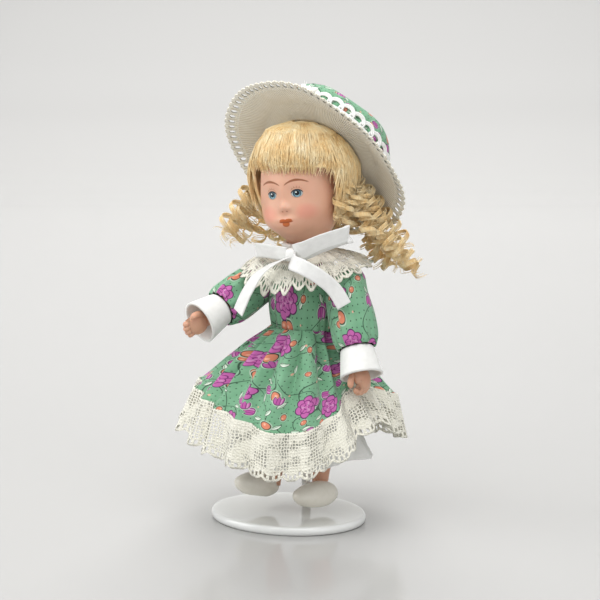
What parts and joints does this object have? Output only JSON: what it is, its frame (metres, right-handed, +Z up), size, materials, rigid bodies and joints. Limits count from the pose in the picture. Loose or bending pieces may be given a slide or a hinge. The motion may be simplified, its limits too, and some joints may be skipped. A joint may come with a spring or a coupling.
{
  "type": "porcelain doll",
  "caption": "Jointed bisque doll in a flower-print dress with a lace collar, ringlets and a brimmed hat, held on an oval stand by a saddle between its legs.",
  "frame": {"origin": "Centre of the flat underside of the oval stand, on the table.", "axes": "+Z up through the doll's head; the doll faces -Y; +X is the doll's own left."},
  "size_m": [0.0844, 0.084, 0.1641],
  "materials": {
    "plastic": "glossy white moulded plastic",
    "bisque": "matt tinted bisque porcelain with painted features",
    "elastic": "covered white stringing elastic",
    "wire": "bent steel wire",
    "hair": "silky blond synthetic curls",
    "brim_ribbon": "ivory ribbed ribbon with an eyelet edge",
    "print": "green cotton with a small flower print",
    "braid": "white looped braid",
    "satin": "white satin ribbon",
    "lace": "cream netted lace",
    "cotton": "plain white cotton"
  },
  "bodies": {
    "stand": {"stand_base": "plastic", "stand_post": "plastic", "stand_saddle": "plastic"},
    "head": {"head": "bisque", "neck_hook": "wire", "wig_cap": "hair", "fringe": "hair", "hat_brim": "brim_ribbon", "hat_crown": "print", "hat_trim": "braid", "hat_tie": "satin", "ringlet_left_1": "hair", "ringlet_left_2": "hair", "ringlet_left_3": "hair", "ringlet_left_4": "hair", "ringlet_left_5": "hair", "ringlet_left_6": "hair", "ringlet_back_1": "hair", "ringlet_back_2": "hair", "ringlet_back_3": "hair", "ringlet_right_1": "hair", "ringlet_right_2": "hair", "ringlet_right_3": "hair", "ringlet_right_4": "hair", "ringlet_right_5": "hair"},
    "arm_left": {"arm_left": "bisque", "sleeve_left": "print", "cuff_left": "cotton"},
    "arm_right": {"arm_right": "bisque", "sleeve_right": "print", "cuff_right": "cotton"},
    "leg_left": {"leg_left": "bisque", "pantaloon_left": "cotton"},
    "leg_right": {"leg_right": "bisque", "pantaloon_right": "cotton"},
    "doll": {"torso": "bisque", "arm_elastic": "elastic", "leg_elastic": "elastic", "bodice": "print", "skirt": "print", "skirt_lace": "lace", "petticoat": "cotton", "collar_lace": "lace", "neck_ribbon": "satin", "bow_knot": "satin", "bow_loop_left": "satin", "bow_loop_right": "satin", "bow_tail_left": "satin", "bow_tail_right": "satin"}
  },
  "joints": [
    {"name": "doll_lift", "type": "slide", "parent": "stand", "child": "doll", "axis": [0, 0, 1], "range_m": [0, 0.06]},
    {"name": "head_turn", "type": "hinge", "parent": "doll", "child": "head", "pos_m": [0, 0.011, 0.0954], "axis": [0, 0, 1], "range_deg": [-22, 22]},
    {"name": "arm_left_swing", "type": "hinge", "parent": "doll", "child": "arm_left", "pos_m": [0.0185, 0.011, 0.0875], "axis": [-1, 0, 0], "range_deg": [0, 75]},
    {"name": "arm_right_swing", "type": "hinge", "parent": "doll", "child": "arm_right", "pos_m": [-0.0185, 0.011, 0.0875], "axis": [-1, 0, 0], "range_deg": [-18, 25]},
    {"name": "leg_left_swing", "type": "hinge", "parent": "doll", "child": "leg_left", "pos_m": [0.0085, 0.011, 0.05], "axis": [-1, 0, 0], "range_deg": [-12, 18]},
    {"name": "leg_right_swing", "type": "hinge", "parent": "doll", "child": "leg_right", "pos_m": [-0.0085, 0.011, 0.05], "axis": [-1, 0, 0], "range_deg": [-24, 8]}
  ]
}
